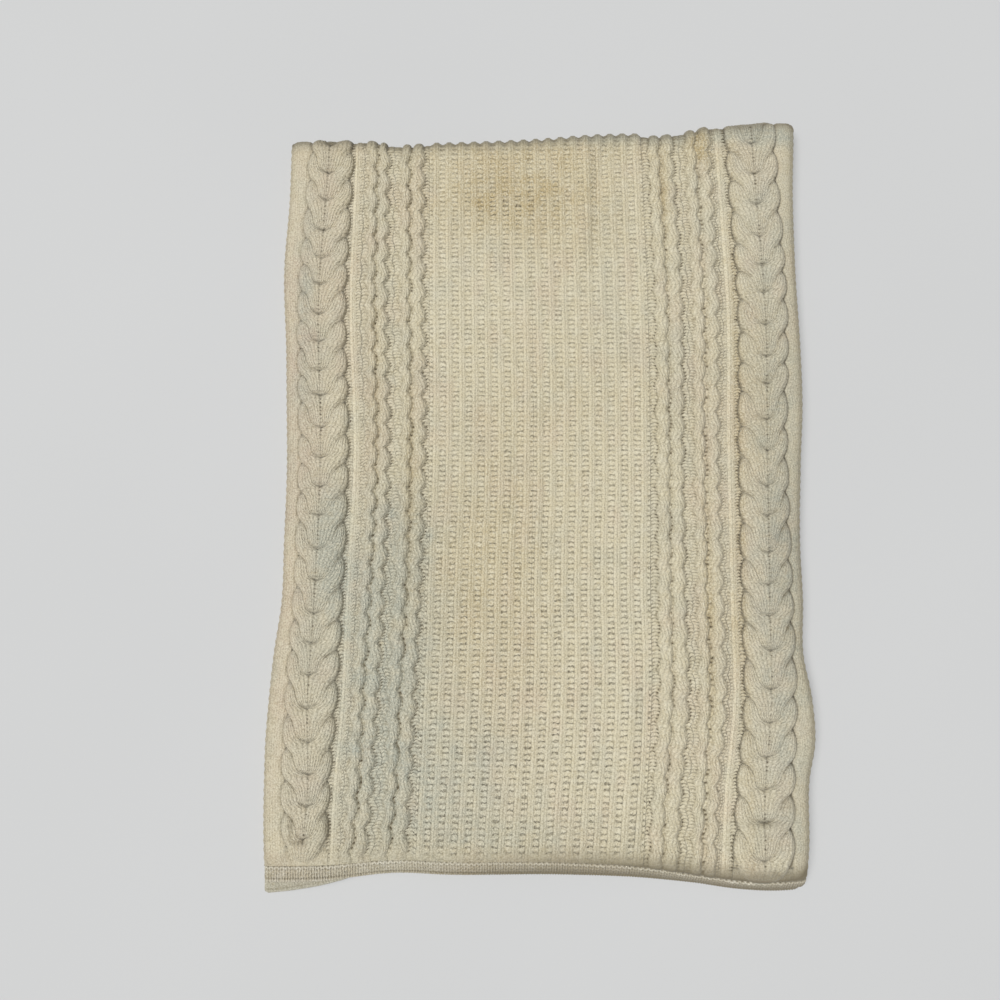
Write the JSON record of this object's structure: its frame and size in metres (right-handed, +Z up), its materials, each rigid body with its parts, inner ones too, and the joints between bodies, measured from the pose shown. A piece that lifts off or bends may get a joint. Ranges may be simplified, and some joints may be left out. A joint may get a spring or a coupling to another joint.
{
  "type": "knit scarf, folded in four",
  "caption": "Cable-knit scarf folded in half twice into a flat rectangle, with two cables, wavy ribs, a ribbed middle and a plain band at each free end.",
  "frame": {"origin": "middle of the folded scarf's footprint, on the surface it lies on", "axes": "+X across the scarf, +Y along it towards the outer fold, +Z up"},
  "size_m": [0.3123, 0.4497, 0.0144],
  "materials": {
    "top_knit": "matt undyed wool in cables, waves and ribs",
    "under_knit": "matt undyed wool, back of the knit",
    "hem_knit": "matt undyed wool in plain knit",
    "lower_hem_knit": "matt undyed wool in plain knit"
  },
  "bodies": {
    "root": {"upper_layer": "top_knit", "hidden_layers": "under_knit", "upper_hem": "hem_knit", "lower_hem": "lower_hem_knit"}
  },
  "joints": []
}
